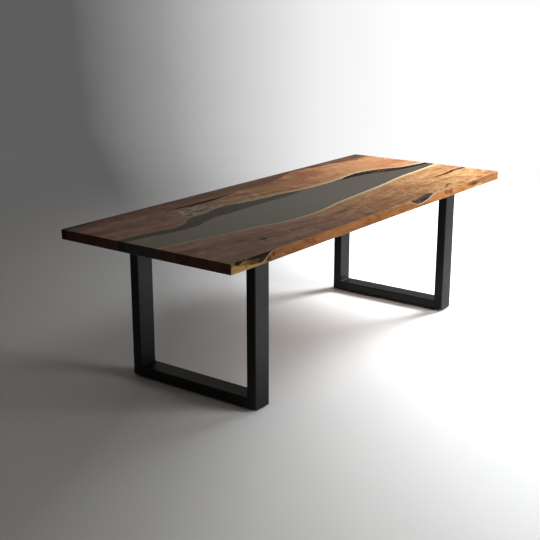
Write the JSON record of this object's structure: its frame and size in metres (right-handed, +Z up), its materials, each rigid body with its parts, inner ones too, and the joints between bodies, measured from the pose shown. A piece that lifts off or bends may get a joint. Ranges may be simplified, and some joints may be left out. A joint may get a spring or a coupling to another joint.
{
  "type": "live edge dining table",
  "caption": "Rectangular dining table: live edge wood slabs joined by a river of tinted resin, on black steel U-shaped legs with screw-adjusted levelling feet.",
  "frame": {"origin": "on the floor, at the centre of the table seen from above", "axes": "+X along the table towards its far end, -Y towards its front edge, +Z up"},
  "size_m": [2.44, 0.96, 0.762],
  "materials": {
    "slab_wood": "satin clear coat over figured hardwood with pale sapwood along the live edges",
    "river_resin": "cast epoxy, smoky grey-green, satin gloss",
    "dark_resin": "cast epoxy, nearly black",
    "clear_resin": "clear cast epoxy over bark",
    "black_steel": "fine satin black powder coat",
    "zinc_steel": "bright zinc plate",
    "brass": "turned brass",
    "foot_rubber": "matt black rubber"
  },
  "bodies": {
    "table": {"rear_slab": "slab_wood", "front_slab": "slab_wood", "river_resin": "river_resin", "rear_split_fill": "dark_resin", "rear_corner_fill": "river_resin", "front_crack_fill": "dark_resin", "near_pocket_fill": "clear_resin", "far_pocket_fill": "clear_resin", "knot_fills": "dark_resin", "near_rear_post": "black_steel", "near_front_post": "black_steel", "near_foot_rail": "black_steel", "near_top_plate": "black_steel", "near_welds": "black_steel", "near_bolts": "zinc_steel", "near_washers": "zinc_steel", "near_inserts": "brass", "near_foot_nuts": "zinc_steel", "near_channel": "black_steel", "far_rear_post": "black_steel", "far_front_post": "black_steel", "far_foot_rail": "black_steel", "far_top_plate": "black_steel", "far_welds": "black_steel", "far_bolts": "zinc_steel", "far_washers": "zinc_steel", "far_inserts": "brass", "far_foot_nuts": "zinc_steel", "far_channel": "black_steel", "channel_screws": "zinc_steel"},
    "near_rear_pad": {"near_rear_pad": "foot_rubber"},
    "near_rear_stem": {"near_rear_stem": "zinc_steel"},
    "near_front_pad": {"near_front_pad": "foot_rubber"},
    "near_front_stem": {"near_front_stem": "zinc_steel"},
    "far_rear_pad": {"far_rear_pad": "foot_rubber"},
    "far_rear_stem": {"far_rear_stem": "zinc_steel"},
    "far_front_pad": {"far_front_pad": "foot_rubber"},
    "far_front_stem": {"far_front_stem": "zinc_steel"}
  },
  "joints": [
    {"name": "near_rear_pad_lift", "type": "slide", "parent": "table", "child": "near_rear_pad", "axis": [0, 0, -1], "range_m": [0, 0.012]},
    {"name": "near_rear_stem_turn", "type": "hinge", "parent": "near_rear_pad", "child": "near_rear_stem", "pos_m": [-0.868, 0.326, 0], "axis": [0, 0, -1], "range_deg": [0, 2880]},
    {"name": "near_front_pad_lift", "type": "slide", "parent": "table", "child": "near_front_pad", "axis": [0, 0, -1], "range_m": [0, 0.012]},
    {"name": "near_front_stem_turn", "type": "hinge", "parent": "near_front_pad", "child": "near_front_stem", "pos_m": [-0.868, -0.326, 0], "axis": [0, 0, -1], "range_deg": [0, 2880]},
    {"name": "far_rear_pad_lift", "type": "slide", "parent": "table", "child": "far_rear_pad", "axis": [0, 0, -1], "range_m": [0, 0.012]},
    {"name": "far_rear_stem_turn", "type": "hinge", "parent": "far_rear_pad", "child": "far_rear_stem", "pos_m": [0.868, 0.326, 0], "axis": [0, 0, -1], "range_deg": [0, 2880]},
    {"name": "far_front_pad_lift", "type": "slide", "parent": "table", "child": "far_front_pad", "axis": [0, 0, -1], "range_m": [0, 0.012]},
    {"name": "far_front_stem_turn", "type": "hinge", "parent": "far_front_pad", "child": "far_front_stem", "pos_m": [0.868, -0.326, 0], "axis": [0, 0, -1], "range_deg": [0, 2880]}
  ],
  "couplings": [
    {"joint": "near_rear_stem_turn", "follows": "near_rear_pad_lift", "rad_per_m": 4188.8},
    {"joint": "near_front_stem_turn", "follows": "near_front_pad_lift", "rad_per_m": 4188.8},
    {"joint": "far_rear_stem_turn", "follows": "far_rear_pad_lift", "rad_per_m": 4188.8},
    {"joint": "far_front_stem_turn", "follows": "far_front_pad_lift", "rad_per_m": 4188.8}
  ]
}
